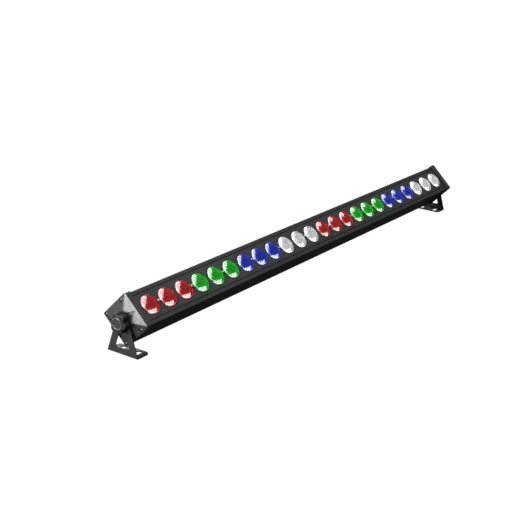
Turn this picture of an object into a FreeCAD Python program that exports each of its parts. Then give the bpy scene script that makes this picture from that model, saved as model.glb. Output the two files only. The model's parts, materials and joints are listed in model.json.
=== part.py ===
import FreeCAD, Part
import os
import re
import Sketcher

# A one-metre stage light batten: a square extruded bar with a single row of domed lenses, a faceted
# cap and an A-shaped stand at each end, and a lobed knob that clamps each stand to its cap.
#
# Row frame: +X along the bar, +Z up, front towards -Y, origin on the floor midway between the stands.
# Bar frame: the same X, but +Z is the way the lenses look and the origin is on the tilt axis. Parts
# of the bar are drawn in it and turned back by tilt_angle. Parts of an end are drawn at the +X end,
# and turned half round for the other end.

DIMENSIONS = {
    # whole object
    "bar_length": 1000.0,
    "pivot_height": 53.6,
    "tilt_angle": 43.5,
    "running_gap": 0.08,
    # row of lenses
    "lens_pitch": 40.5,
    "lens_count": 24,
    "lens_radius": 16.65,
    "lens_rise": 7.5,
    "lens_flange_radius": 17.4,
    "lens_flange": 2.0,
    "collimator_top": 13.5,
    "collimator_bottom": 5.0,
    "collimator_wall": 1.6,
    "holder_foot_radius": 9.5,
    "holder_foot": 1.2,
    "holder_wall": 2.3,
    "holder_gap": 0.4,
    "emitter_radius": 2.5,
    "emitter_base": 0.6,
    "emitter_dome_radius": 1.8,
    "emitter_dome": 1.6,
    # housing section
    "body_width": 58.3,
    "body_front": 26.6,
    "body_back": 29.5,
    "side_wall": 2.0,
    "back_wall": 3.2,
    "lip_gap": 46.6,
    "ledge_gap": 41.6,
    "ledge": 1.8,
    "seat_level": 4.4,
    "seat_rib": 3.0,
    "seat_rib_thickness": 2.0,
    "groove_width": 3.0,
    "groove_depth": 1.2,
    "groove_pitch": 6.0,
    "port_radius": 2.2,
    "port_bore": 1.53,
    "screw_side": 26.9,
    "screw_front": 15.3,
    "screw_back": 26.2,
    # front panel and what is under it
    "panel_thickness": 2.0,
    "panel_gap": 0.25,
    "plate_thickness": 3.0,
    "plate_gap": 0.2,
    "board_thickness": 1.6,
    "led_board_width": 36.0,
    "pillar_radius": 2.7,
    "pillar_bore_depth": 9.6,
    # end caps
    "cap_width": 62.3,
    "cap_depth": 60.2,
    "cap_rim": 11.0,
    "cap_rise": 5.0,
    "cap_corner": 2.5,
    "cap_pad": 20.0,
    "cap_cavity": 8.0,
    "cap_cavity_width": 46.0,
    "notch_margin": 3.7,
    "notch_half_angle": 26.0,
    "notch_depth": 1.5,
    "gasket": 1.0,
    "gasket_inset": 0.3,
    # screws
    "screw_radius": 1.5,
    "cap_head_radius": 2.8,
    "cap_head": 2.0,
    "cap_head_sink": 1.5,
    "cap_counterbore": 3.1,
    "cap_screw_length": 19.0,
    "panel_head_radius": 2.7,
    "panel_head": 1.8,
    "panel_screw_length": 9.0,
    "small_screw_radius": 1.0,
    "small_bore": 1.05,
    "small_head_radius": 1.9,
    "small_head": 1.2,
    "small_screw_length": 4.4,
    "recess_width": 0.8,
    "recess_length": 3.0,
    "recess_depth": 1.0,
    # pivot, stand and knob
    "bolt_radius": 4.0,
    "bolt_head": 5.3,
    "bolt_head_flats": 13.0,
    "bolt_reach": 15.5,
    "disc_radius": 9.5,
    "disc_thickness": 0.5,
    "stand_thickness": 2.0,
    "stand_crown": 12.0,
    "leg_width": 11.0,
    "foot_width": 58.5,
    "foot_reach": 28.9,
    "foot_corner": 7.0,
    "window_bottom": 10.5,
    "window_drop": 15.0,
    "window_corner": 3.0,
    "window_crown": 5.0,
    "slot_width": 9.0,
    "slot_length": 17.0,
    "slot_spacing": 30.0,
    "slot_setback": 16.5,
    "bend_outside": 2.0,
    "bend_inside": 1.0,
    "washer_radius": 9.0,
    "washer_thickness": 1.5,
    "knob_lobes": 6,
    "knob_phase": -10.0,
    "knob_thickness": 10.0,
    "lobe_radius": 5.0,
    "lobe_centre": 11.3,
    "valley_reach": 12.9,
    "knob_edge": 1.2,
    "knob_recess_radius": 9.6,
    "knob_recess": 1.2,
    "insert_radius": 6.0,
    "insert_length": 7.5,
    "ring_outer": 9.5,
    "ring_inner": 8.1,
    "ring_height": 2.4,
    "badge_height": 1.9,
    # rear face
    "flange_thickness": 1.5,
    "mains_screw_inset": 2.0,
    "inlet_place": -165.0,
    "inlet_flange": 48.0,
    "inlet_shell": 40.0,
    "inlet_shell_depth": 20.5,
    "mains_flange_width": 27.0,
    "mains_shell_width": 20.0,
    "inlet_mouth_start": -5.0,
    "inlet_mouth_end": 19.0,
    "inlet_mouth_width": 16.0,
    "inlet_mouth_depth": 16.5,
    "blade_length": 14.0,
    "blade_width": 4.0,
    "blade_thickness": 2.0,
    "blade_spread": 14.0,
    "fuse_start": -19.0,
    "fuse_end": -9.0,
    "fuse_width": 16.0,
    "fuse_depth": 18.0,
    "fuse_gap": 0.3,
    "fuse_wall": 2.0,
    "fuse_grip": 3.0,
    "fuse_proud": 1.0,
    "outlet_place": -105.0,
    "outlet_flange": 38.0,
    "outlet_shell": 30.0,
    "outlet_shell_depth": 17.5,
    "data_in_place": 95.0,
    "data_out_place": 140.0,
    "data_flange_length": 31.0,
    "data_flange_width": 26.0,
    "data_shell_radius": 11.0,
    "data_shell_depth": 21.5,
    "data_mouth_radius": 9.2,
    "data_mouth_depth": 16.0,
    "data_pin_radius": 1.2,
    "data_pin_length": 13.5,
    "data_pin_circle": 4.2,
    "data_cutout_radius": 12.6,
    "data_screw_x": 12.8,
    "data_screw_y": 10.2,
    "data_out_radius": 9.4,
    "data_out_depth": 10.0,
    "data_insert_radius": 7.9,
    "data_contact_gap": 0.2,
    "latch_half_length": 4.0,
    "latch_low": 9.9,
    "latch_high": 11.6,
    "latch_out": 1.2,
    "latch_in": 4.5,
    "latch_gap": 0.3,
    "latch_room": 2.0,
    "panel_length": 110.0,
    "panel_width": 34.0,
    "panel_cutout_length": 98.0,
    "panel_cutout_width": 24.0,
    "plate_screw_inset": 3.0,
    "plate_stud_inset": 3.0,
    "plate_stud_radius": 1.5,
    "window_start": -45.0,
    "window_end": -5.0,
    "window_width": 16.0,
    "window_clearance": 0.1,
    "button_start": 8.0,
    "button_pitch": 12.0,
    "button_radius": 3.3,
    "button_hole": 3.6,
    "button_flange": 4.4,
    "button_flange_thickness": 1.0,
    "button_out": 1.4,
    "button_stem_radius": 2.0,
    "button_stem": 1.6,
    "display_board_level": 8.5,
    "switch_height": 3.4,
    "switch_width": 6.0,
    "display_inset": 1.0,
    "display_gap": 0.5,
    # electronics bay
    "bay_board_lift": 5.0,
    "bay_board_width": 40.0,
    "supply_start": -405.0,
    "supply_end": -215.0,
    "driver_start": 205.0,
    "driver_end": 395.0,
    "bay_pillar_radius": 2.5,
    "bay_pillar_inset": 5.0,
    "loom_radius": 2.0,
    "loom_side": 18.0,
    "loom_level": -6.0,
    "loom_bend": 6.0,
    "loom_start": -222.0,
    "loom_end": 212.0,
}

COLOURS = ("red", "green", "blue", "white")

# what stands on the power supply board: name, place along it and across it, length, width, height
SUPPLY_BLOCKS = (
    ("MainsFilter", 25.0, -4.0, 20.0, 22.0, 14.0),
    ("SwitchHeatSink", 64.0, 2.0, 4.0, 26.0, 16.0),
    ("Transformer", 92.0, 0.0, 34.0, 30.0, 18.0),
    ("OutputChoke", 150.0, -6.0, 18.0, 18.0, 12.0),
)
# its capacitors: name, place along and across, radius, height
SUPPLY_CANS = (
    ("MainsCapacitor", 48.0, 0.0, 8.0, 19.0),
    ("OutputCapacitorA", 122.0, 8.0, 5.0, 17.0),
    ("OutputCapacitorB", 122.0, -8.0, 5.0, 17.0),
)
# the driver board's controller, and a coil and a switch for each colour every 30 mm from 66 mm on
DRIVER_CONTROLLER = ("Controller", 30.0, 0.0, 14.0, 14.0, 2.0)
DRIVER_CHANNEL = (("ChannelCoil", -6.0, 12.0, 12.0, 7.0), ("ChannelSwitch", 7.0, 10.0, 6.0, 3.0))
CHANNEL_START, CHANNEL_PITCH = 66.0, 30.0

# often repeated places, as formulas in the names above
CAP_FACE = "bar_length / 2"
CAP_INSIDE = "bar_length / 2 - cap_rim"
CAP_WALL = "bar_length / 2 - cap_rim + cap_cavity"
PAD_FACE = "bar_length / 2 + cap_rise"
STAND_INSIDE = "bar_length / 2 + cap_rise + disc_thickness"
STAND_OUTSIDE = "bar_length / 2 + cap_rise + disc_thickness + stand_thickness"
KNOB_BACK = STAND_OUTSIDE + " + washer_thickness"
KNOB_FLOOR = KNOB_BACK + " + knob_thickness - knob_recess"
HOUSING_END = "bar_length / 2 - cap_rim - gasket"
PANEL_BACK = "body_front - panel_thickness"
PLATE_TOP = "seat_level + plate_thickness"
BOARD_TOP = "seat_level + plate_thickness + board_thickness"
HOLDER_TOP = "body_front - panel_thickness - lens_flange"
REAR = "-body_back"
REAR_FLANGE = "-body_back - flange_thickness"
REAR_INSIDE = "-body_back + back_wall"
DISPLAY_BOARD = "-body_back + display_board_level - board_thickness"
BAY_BOARD = "-body_back + back_wall + bay_board_lift"
BAY_BOARD_TOP = "-body_back + back_wall + bay_board_lift + board_thickness"

doc = FreeCAD.newDocument("LedBatten")
sheet = doc.addObject("Spreadsheet::Sheet", "Dims")
for line, (alias, number) in enumerate(DIMENSIONS.items(), start=1):
    sheet.set(f"A{line}", alias)
    sheet.set(f"B{line}", str(number))
    sheet.setAlias(f"B{line}", alias)
doc.recompute()

nodes = []


# ---------------------------------------------------------------- formulas, sketches and features

def formula(text):
    """Turn a formula written with plain dimension names into one that reads the sheet."""
    return re.sub(r"[a-z][a-z_]+", lambda m: f"Dims.{m[0]}" if m[0] in DIMENSIONS else m[0], str(text))


def value(text):
    """The number that a formula gives now."""
    result = sheet.evalExpression(formula(text))
    return float(getattr(result, "Value", result))


def bind(thing, **formulas):
    """Bind properties to formulas; a double underscore in a name stands for a dot."""
    for name, text in formulas.items():
        thing.setExpression(name.replace("__", "."), formula(text))


def place(thing, x="0", y="0", z="0", turn=""):
    """Bind a thing's placement to a point and, if given, a rotation formula."""
    turn = turn or "rotation(vector(0; 0; 1); 0)"
    bind(thing, Placement=f"placement(vector({x}; {y}; {z}); {turn})")


TILT = "rotation(vector(1; 0; 0); tilt_angle)"
HALF_ROUND = "rotation(vector(0; 0; 1); 180)"


def on_bar(thing, flipped=False):
    """Put a thing drawn in the bar frame onto the tilted bar."""
    place(thing, z="pivot_height", turn=f"{TILT} * {HALF_ROUND}" if flipped else TILT)
    return thing


def node(label, thing):
    """Record a finished sub-part under the name of its file."""
    thing.Label = label
    nodes.append(thing)
    return thing


def new_body(name):
    return doc.addObject("PartDesign::Body", name)


def origin_feature(body, role):
    return next(f for f in body.Origin.OriginFeatures if f.Role == role)


def sketch(body, name, plane="XY_Plane", x="0", y="0", lift="0"):
    """A sketch on one of the body's origin planes, moved in the plane by x, y and off it by lift."""
    drawing = body.newObject("Sketcher::SketchObject", name)
    drawing.AttachmentSupport = [(origin_feature(body, plane), "")]
    drawing.MapMode = "FlatFace"
    bind(drawing, AttachmentOffset__Base__x=x, AttachmentOffset__Base__y=y, AttachmentOffset__Base__z=lift)
    return drawing


def fix(drawing, kind, *members, size):
    """Add one dimension to a sketch and bind it to a formula."""
    index = drawing.addConstraint(Sketcher.Constraint(kind, *members, value(size)))
    drawing.setExpression(f"Constraints[{index}]", formula(size))


def arc_middle(start, end, radius):
    """Middle point of the short arc from start to end; a positive radius bulges to the right."""
    chord = end - start
    depth = abs(radius) - (radius * radius - chord.Length ** 2 / 4) ** 0.5
    right = FreeCAD.Vector(chord.y, -chord.x, 0).normalize()
    return (start + end) * 0.5 + right * (depth if radius > 0 else -depth)


def outline(drawing, points, arcs=None, closed=True):
    """Draw an anticlockwise loop, or a path if it isn't closed. arcs gives the radius of each segment
    that isn't straight, negative where it is hollow."""
    arcs = arcs or {}
    first = drawing.GeometryCount
    corners = [FreeCAD.Vector(value(x), value(y), 0) for x, y in points]
    count = len(corners) if closed else len(corners) - 1
    for i, start in enumerate(corners[:count]):
        end = corners[(i + 1) % len(corners)]
        if i not in arcs:
            drawing.addGeometry(Part.LineSegment(start, end), False)
            continue
        radius = value(arcs[i])
        ends = (start, end) if radius > 0 else (end, start)
        drawing.addGeometry(Part.Arc(ends[0], arc_middle(start, end, radius), ends[1]), False)
    # an arc is stored anticlockwise, so a hollow one starts at the loop's next corner
    heads = [2 if i in arcs and value(arcs[i]) < 0 else 1 for i in range(count)]
    for i, (x, y) in enumerate(points[:count]):
        following = (i + 1) % count
        if closed or following:
            drawing.addConstraint(Sketcher.Constraint(
                "Coincident", first + i, 3 - heads[i], first + following, heads[following]))
        fix(drawing, "DistanceX", -1, 1, first + i, heads[i], size=x)
        fix(drawing, "DistanceY", -1, 1, first + i, heads[i], size=y)
        if i in arcs:
            fix(drawing, "Radius", first + i, size=f"abs({arcs[i]})")
    if not closed:
        fix(drawing, "DistanceX", -1, 1, first + count - 1, 3 - heads[-1], size=points[-1][0])
        fix(drawing, "DistanceY", -1, 1, first + count - 1, 3 - heads[-1], size=points[-1][1])


def rectangle(drawing, x_low, x_high, y_low, y_high, corner=""):
    """Draw a rectangle between two pairs of formulas, with rounded corners if a radius is given."""
    if not corner:
        outline(drawing, [(x_low, y_low), (x_high, y_low), (x_high, y_high), (x_low, y_high)])
        return
    left, right = f"{x_low} + {corner}", f"{x_high} - {corner}"
    low, high = f"{y_low} + {corner}", f"{y_high} - {corner}"
    points = [(left, y_low), (right, y_low), (x_high, low), (x_high, high),
              (right, y_high), (left, y_high), (x_low, high), (x_low, low)]
    outline(drawing, points, {1: corner, 3: corner, 5: corner, 7: corner})


def circle(drawing, x, y, radius):
    centre = FreeCAD.Vector(value(x), value(y), 0)
    index = drawing.addGeometry(Part.Circle(centre, FreeCAD.Vector(0, 0, 1), value(radius)), False)
    fix(drawing, "DistanceX", -1, 1, index, 3, size=x)
    fix(drawing, "DistanceY", -1, 1, index, 3, size=y)
    fix(drawing, "Radius", index, size=radius)


def pad(body, drawing, length):
    feature = body.newObject("PartDesign::Pad", drawing.Name + "Pad")
    feature.Profile = drawing
    bind(feature, Length=length)
    return feature


def pocket(body, drawing, depth, along_normal=False):
    """Cut a sketch into the body, against the sketch's normal unless along_normal is set."""
    feature = body.newObject("PartDesign::Pocket", drawing.Name + "Pocket")
    feature.Profile = drawing
    feature.Reversed = along_normal
    bind(feature, Length=depth)
    return feature


def revolve(body, drawing, axis="V_Axis"):
    feature = body.newObject("PartDesign::Revolution", drawing.Name + "Turned")
    feature.Profile = drawing
    feature.ReferenceAxis = (drawing, [axis])
    feature.Angle = 360.0
    return feature


def row(body, features, length, count):
    """Repeat features along the bar: count of them over a length."""
    pattern = body.newObject("PartDesign::LinearPattern", features[0].Name + "Row")
    pattern.Originals = features
    pattern.Direction = (origin_feature(body, "X_Axis"), [""])
    bind(pattern, Length=length, Occurrences=count)
    body.Tip = pattern
    return pattern


def fillet(body, radius, wanted):
    """Round the edges of the body's last feature that wanted(edge) picks."""
    doc.recompute()
    base = body.Tip
    picked = [f"Edge{i}" for i, edge in enumerate(base.Shape.Edges, start=1) if wanted(edge)]
    if not picked:
        raise RuntimeError(f"{body.Name}: no edge to round")
    feature = body.newObject("PartDesign::Fillet", base.Name + "Rounded")
    feature.Base = (base, picked)
    bind(feature, Radius=radius)
    return feature


def slab(name, x, y, z):
    """A box between three pairs of formulas."""
    solid = doc.addObject("Part::Box", name)
    for side, place_along, (low, high) in zip(("Length", "Width", "Height"), "xyz", (x, y, z)):
        bind(solid, **{side: f"({high}) - ({low})", f"Placement__Base__{place_along}": low})
    return solid


def drum(name, x, y, z, radius):
    """An upright cylinder at x, y between a pair of heights."""
    solid = doc.addObject("Part::Cylinder", name)
    bind(solid, Radius=radius, Height=f"({z[1]}) - ({z[0]})")
    bind(solid, Placement__Base__x=x, Placement__Base__y=y, Placement__Base__z=z[0])
    return solid


def joined(name, solids):
    whole = doc.addObject("Part::MultiFuse", name)
    whole.Shapes = solids
    whole.Refine = True
    return whole


def hollowed(name, base, tools):
    whole = doc.addObject("Part::Cut", name)
    whole.Base = base
    whole.Tool = tools[0] if len(tools) == 1 else joined(name + "Tools", tools)
    return whole


def grouped(name, solids):
    whole = doc.addObject("Part::Compound", name)
    whole.Links = solids
    return whole


def copies(name, master, places):
    """Separate copies of one solid, each at x, y, z with an optional rotation."""
    links = []
    for number, spot in enumerate(places):
        link = doc.addObject("App::Link", f"{name}{number}")
        link.LinkedObject = master
        place(link, *spot)
        links.append(link)
    return grouped(name, links)


# ---------------------------------------------------------------- housing, panel and light engine

def rear_cutouts():
    """Openings in the housing's back wall, as rectangles and circles in the bar frame."""
    half_inlet = "inlet_shell / 2 + panel_gap"
    half_outlet = "outlet_shell / 2 + panel_gap"
    half_mains = "mains_shell_width / 2 + panel_gap"
    rectangles = [
        (f"inlet_place - ({half_inlet})", f"inlet_place + {half_inlet}", f"-({half_mains})", half_mains),
        (f"outlet_place - ({half_outlet})", f"outlet_place + {half_outlet}", f"-({half_mains})", half_mains),
        ("-panel_cutout_length / 2", "panel_cutout_length / 2",
         "-panel_cutout_width / 2", "panel_cutout_width / 2"),
    ]
    circles = [("data_in_place", "0", "data_cutout_radius"), ("data_out_place", "0", "data_cutout_radius")]
    return rectangles, circles


def rear_screw_places():
    """Where small screws hold the sockets and the control plate to the back wall."""
    places = []
    for end in (-1, 1):
        places.append((f"inlet_place + {end} * (inlet_flange / 2 - mains_screw_inset)", "0"))
        places.append((f"outlet_place + {end} * (outlet_flange / 2 - mains_screw_inset)", "0"))
        for socket in ("data_in_place", "data_out_place"):
            places.append((f"{socket} + {end} * data_screw_x", f"{end} * data_screw_y"))
        for side in (-1, 1):
            places.append((f"{end} * (panel_length / 2 - plate_screw_inset)",
                           f"{side} * (panel_width / 2 - plate_screw_inset)"))
    return places


def cap_screw_places():
    """The four screws of a cap, as y, z in the bar frame."""
    return [(f"{side} * screw_side", height) for side in (-1, 1) for height in ("screw_front", "-screw_back")]


def build_housing():
    body = new_body("Housing")
    section = sketch(body, "HousingSection", "YZ_Plane", lift=f"-({HOUSING_END})")
    half = "body_width / 2"
    inner = "body_width / 2 - side_wall"
    rib = "body_width / 2 - side_wall - seat_rib"
    back = [(f"-{half}", REAR)]
    for groove in range(-3, 4):
        left = f"{groove} * groove_pitch - groove_width / 2"
        right = f"{groove} * groove_pitch + groove_width / 2"
        back += [(left, REAR), (left, f"{REAR} + groove_depth")]
        back += [(right, f"{REAR} + groove_depth"), (right, REAR)]
    right_side = [
        (half, REAR), (half, "body_front"), ("lip_gap / 2", "body_front"), ("lip_gap / 2", PANEL_BACK),
        ("ledge_gap / 2", PANEL_BACK), ("ledge_gap / 2", f"{PANEL_BACK} - ledge"),
        (inner, f"{PANEL_BACK} - ledge"), (inner, "seat_level"), (rib, "seat_level"),
        (rib, "seat_level - seat_rib_thickness"), (inner, "seat_level - seat_rib_thickness"),
        (inner, REAR_INSIDE)]
    left_side = [(f"-({y})", z) for y, z in reversed(right_side[1:])]
    outline(section, back + right_side + left_side)
    pad(body, section, f"2 * ({HOUSING_END})")
    ports = sketch(body, "ScrewPorts", "YZ_Plane", lift=f"-({HOUSING_END})")
    bores = sketch(body, "PortBores", "YZ_Plane", lift=f"-({HOUSING_END})")
    for y, z in cap_screw_places():
        circle(ports, y, z, "port_radius")
        circle(bores, y, z, "port_bore")
    pad(body, ports, f"2 * ({HOUSING_END})")
    pocket(body, bores, f"2 * ({HOUSING_END})", along_normal=True)
    openings = sketch(body, "RearOpenings", lift=REAR)
    rectangles, circles = rear_cutouts()
    for edges in rectangles:
        rectangle(openings, *edges)
    for x, y, radius in circles:
        circle(openings, x, y, radius)
    pocket(body, openings, "back_wall", along_normal=True)
    taps = sketch(body, "RearTaps", lift=REAR)
    for x, y in rear_screw_places():
        circle(taps, x, y, "small_bore")
    pocket(body, taps, "back_wall", along_normal=True)
    node("housing", on_bar(body))


def build_front_panel():
    body = new_body("FrontPanel")
    plate = sketch(body, "PanelOutline", lift=PANEL_BACK)
    half_width = "lip_gap / 2 - panel_gap"
    rectangle(plate, f"-({HOUSING_END})", HOUSING_END, f"-({half_width})", half_width)
    pad(body, plate, "panel_thickness")
    lens_hole = sketch(body, "LensHole", lift="body_front")
    circle(lens_hole, "-(lens_count - 1) / 2 * lens_pitch", "0", "lens_radius + panel_gap")
    row(body, [pocket(body, lens_hole, "panel_thickness")], "(lens_count - 1) * lens_pitch", "lens_count")
    screw_hole = sketch(body, "ScrewHole", lift="body_front")
    circle(screw_hole, "(1 - lens_count / 2) * lens_pitch", "0", "screw_radius + panel_gap")
    holes = pocket(body, screw_hole, "panel_thickness")
    row(body, [holes], "(lens_count - 2) * lens_pitch", "lens_count / 2")
    node("front_panel", on_bar(body))


def row_of_turned(label, x, points, arcs, length, count):
    """A row of equal turned pieces, drawn as a profile of radius and height at the first one."""
    body = new_body(label.title().replace("_", ""))
    profile = sketch(body, body.Name + "Profile", "XZ_Plane", x=x)
    outline(profile, points, arcs)
    row(body, [revolve(body, profile)], length, count)
    node(label, on_bar(body))


def build_lenses():
    """Clear moulded lenses in eight groups of three: a dome, a flange under the panel and a solid
    cone down to the emitter, which sits in a hollow in the cone's foot."""
    foot = f"{BOARD_TOP} + collimator_wall / 2"
    hollow_top = f"{foot} + collimator_wall * 1.5"
    hollow_radius = "collimator_bottom - collimator_wall"
    profile = [
        ("0", hollow_top), (hollow_radius, hollow_top), (hollow_radius, foot), ("collimator_bottom", foot),
        ("collimator_top", HOLDER_TOP), ("lens_flange_radius", HOLDER_TOP),
        ("lens_flange_radius", PANEL_BACK), ("lens_radius", PANEL_BACK), ("lens_radius", "body_front"),
        ("0", "body_front + lens_rise")]
    dome = "(lens_radius ^ 2 + lens_rise ^ 2) / (2 * lens_rise)"
    for group in range(8):
        side = "left" if group < 4 else "right"
        first = f"({3 * group} - (lens_count - 1) / 2) * lens_pitch"
        label = f"{COLOURS[group % 4]}_lenses_{side}"
        row_of_turned(label, first, profile, {8: dome}, "2 * lens_pitch", "3")


def build_light_engine():
    first = "-(lens_count - 1) / 2 * lens_pitch"
    whole_row = "(lens_count - 1) * lens_pitch"
    inside = "collimator_bottom + holder_gap"
    holder = [
        (inside, BOARD_TOP), ("holder_foot_radius", BOARD_TOP),
        ("holder_foot_radius", f"{BOARD_TOP} + holder_foot"),
        (f"{inside} + holder_wall", f"{BOARD_TOP} + holder_foot"),
        ("collimator_top + holder_gap + holder_wall", HOLDER_TOP),
        ("collimator_top + holder_gap", HOLDER_TOP)]
    row_of_turned("lens_holders", first, holder, {}, whole_row, "lens_count")
    emitter = [
        ("0", BOARD_TOP), ("emitter_radius", BOARD_TOP), ("emitter_radius", f"{BOARD_TOP} + emitter_base"),
        ("emitter_dome_radius", f"{BOARD_TOP} + emitter_base"),
        ("0", f"{BOARD_TOP} + emitter_base + emitter_dome")]
    dome = "(emitter_dome_radius ^ 2 + emitter_dome ^ 2) / (2 * emitter_dome)"
    row_of_turned("led_emitters", first, emitter, {3: dome}, whole_row, "lens_count")
    pillar = [
        ("0", "seat_level"), ("screw_radius", "seat_level"), ("screw_radius", BOARD_TOP),
        ("pillar_radius", BOARD_TOP), ("pillar_radius", PANEL_BACK), ("port_bore", PANEL_BACK),
        ("port_bore", f"{PANEL_BACK} - pillar_bore_depth"), ("0", f"{PANEL_BACK} - pillar_bore_depth")]
    row_of_turned("panel_pillars", "(1 - lens_count / 2) * lens_pitch", pillar, {},
                  "(lens_count - 2) * lens_pitch", "lens_count / 2")
    for label, flipped in (("led_board_left", False), ("led_board_right", True)):
        body = new_body(label.title().replace("_", ""))
        board = sketch(body, body.Name + "Outline", lift=PLATE_TOP)
        rectangle(board, f"-({HOUSING_END} - 2)", "-1", "-led_board_width / 2", "led_board_width / 2")
        pad(body, board, "board_thickness")
        hole = sketch(body, body.Name + "Hole", lift=BOARD_TOP)
        circle(hole, "(1 - lens_count / 2) * lens_pitch", "0", "port_bore")
        drilled = pocket(body, hole, "board_thickness")
        row(body, [drilled], "(lens_count / 2 - 2) * lens_pitch", "lens_count / 4")
        node(label, on_bar(body, flipped))
    body = new_body("HeatSpreader")
    plate = sketch(body, "SpreaderOutline", lift="seat_level")
    half_width = "body_width / 2 - side_wall - plate_gap"
    rectangle(plate, f"-({HOUSING_END} - 2)", f"{HOUSING_END} - 2", f"-({half_width})", half_width)
    pad(body, plate, "plate_thickness")
    hole = sketch(body, "SpreaderHole", lift=PLATE_TOP)
    circle(hole, "(1 - lens_count / 2) * lens_pitch", "0", "port_bore")
    drilled = pocket(body, hole, "plate_thickness")
    row(body, [drilled], "(lens_count - 2) * lens_pitch", "lens_count / 2")
    node("heat_spreader", on_bar(body))


# ---------------------------------------------------------------- screws

def screw_master(name, shank, length, head_radius, head):
    """One cross-recess pan-head screw, pointing down, with the underside of its head at height 0."""
    body = new_body(name)
    profile = sketch(body, name + "Profile", "XZ_Plane")
    rim = f"{head} * 0.4"
    crown = f"({head_radius} ^ 2 + ({head} - {rim}) ^ 2) / (2 * ({head} - {rim}))"
    points = [("0", f"-{length}"), (shank, f"-{length}"), (shank, "0"), (head_radius, "0"),
              (head_radius, rim), ("0", head)]
    outline(profile, points, {4: crown})
    revolve(body, profile)
    recess = sketch(body, name + "Recess", lift=head)
    arm, wide = "recess_length / 2", "recess_width / 2"
    quarter = [(wide, f"-{arm}"), (wide, f"-{wide}"), (arm, f"-{wide}")]
    # each quarter turn takes x, y to -y, x
    points = list(quarter)
    for _ in range(3):
        quarter = [(f"-({y})", x) for x, y in quarter]
        points += quarter
    outline(recess, points)
    pocket(body, recess, "recess_depth")
    return body


def build_screws():
    panel_screw = screw_master("PanelScrew", "screw_radius", "panel_screw_length", "panel_head_radius",
                               "panel_head")
    spots = [(f"({2 * i} + 1 - lens_count / 2) * lens_pitch", "0", "body_front")
             for i in range(DIMENSIONS["lens_count"] // 2)]
    node("panel_screws", on_bar(copies("PanelScrews", panel_screw, spots)))
    cap_screw = screw_master("CapScrew", "screw_radius", "cap_screw_length", "cap_head_radius", "cap_head")
    spots = []
    for end in (-1, 1):
        for y, z in cap_screw_places():
            seat = f"{end} * ({CAP_FACE} - cap_head_sink)"
            spots.append((seat, y, z, f"rotation(vector(0; 1; 0); {end * 90})"))
    node("cap_screws", on_bar(copies("CapScrews", cap_screw, spots)))
    small_screw = screw_master("SmallScrew", "small_screw_radius", "small_screw_length", "small_head_radius",
                               "small_head")
    spots = [(x, y, REAR_FLANGE, "rotation(vector(1; 0; 0); 180)") for x, y in rear_screw_places()]
    node("rear_screws", on_bar(copies("RearScrews", small_screw, spots)))


# ---------------------------------------------------------------- ends

def build_cap(label, flipped):
    body = new_body(label.title().replace("_", ""))
    half_width, half_depth, half_pad = "cap_width / 2", "cap_depth / 2", "cap_pad / 2"
    rim = sketch(body, body.Name + "Rim", "YZ_Plane", lift=CAP_INSIDE)
    rectangle(rim, f"-{half_width}", half_width, f"-{half_depth}", half_depth, "cap_corner")
    pad(body, rim, "cap_rim")
    shoulder = sketch(body, body.Name + "Shoulder", "YZ_Plane", lift=CAP_FACE)
    rectangle(shoulder, f"-{half_width}", half_width, f"-{half_depth}", half_depth, "cap_corner")
    top = sketch(body, body.Name + "Pad", "YZ_Plane", lift=PAD_FACE)
    rectangle(top, f"-{half_pad}", half_pad, f"-{half_pad}", half_pad, "cap_corner / 3")
    facets = body.newObject("PartDesign::AdditiveLoft", body.Name + "Facets")
    facets.Profile = shoulder
    facets.Sections = [top]
    facets.Ruled = True
    # V-shaped recess, drawn on the front facet itself with its foot on the pad's edge
    notch = sketch(body, body.Name + "Notch", "YZ_Plane")
    slope = f"atan(cap_rise / ({half_depth} - {half_pad}))"
    bind(notch, AttachmentOffset=(
        f"placement(vector(0; {half_pad}; {PAD_FACE}); rotation(vector(1; 0; 0); -{slope}))"))
    tip = f"sqrt(cap_rise ^ 2 + ({half_depth} - {half_pad}) ^ 2) - notch_margin"
    spread = f"({tip}) * tan(notch_half_angle * 1deg)"
    outline(notch, [(f"-({spread})", "0"), (spread, "0"), ("0", tip)])
    pocket(body, notch, "notch_depth")
    cavity = sketch(body, body.Name + "Cavity", "YZ_Plane", lift=CAP_INSIDE)
    half_cavity = "cap_cavity_width / 2"
    rectangle(cavity, f"-{half_cavity}", half_cavity, f"-{half_cavity}", half_cavity, "cap_corner")
    pocket(body, cavity, "cap_cavity", along_normal=True)
    bores = sketch(body, body.Name + "Bores", "YZ_Plane", lift=CAP_INSIDE)
    sinks = sketch(body, body.Name + "Sinks", "YZ_Plane", lift=f"{CAP_FACE} - cap_head_sink")
    circle(bores, "0", "0", "bolt_radius + running_gap")
    for y, z in cap_screw_places():
        circle(bores, y, z, "screw_radius + panel_gap")
        circle(sinks, y, z, "cap_counterbore")
    pocket(body, bores, "cap_rim + cap_rise", along_normal=True)
    pocket(body, sinks, "cap_rise + cap_head_sink", along_normal=True)
    node(label, on_bar(body, flipped))


def build_gasket(label, flipped):
    body = new_body(label.title().replace("_", ""))
    sheet_outline = sketch(body, body.Name + "Outline", "YZ_Plane", lift=HOUSING_END)
    half_width = "body_width / 2 - gasket_inset"
    rectangle(sheet_outline, f"-({half_width})", half_width, f"{REAR} + gasket_inset",
              "body_front - gasket_inset", "cap_corner")
    pad(body, sheet_outline, "gasket")
    holes = sketch(body, body.Name + "Holes", "YZ_Plane", lift=HOUSING_END)
    half_cavity = "cap_cavity_width / 2"
    rectangle(holes, f"-{half_cavity}", half_cavity, f"-{half_cavity}", half_cavity, "cap_corner")
    for y, z in cap_screw_places():
        circle(holes, y, z, "screw_radius + panel_gap / 4")
    pocket(body, holes, "gasket", along_normal=True)
    node(label, on_bar(body, flipped))


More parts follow.
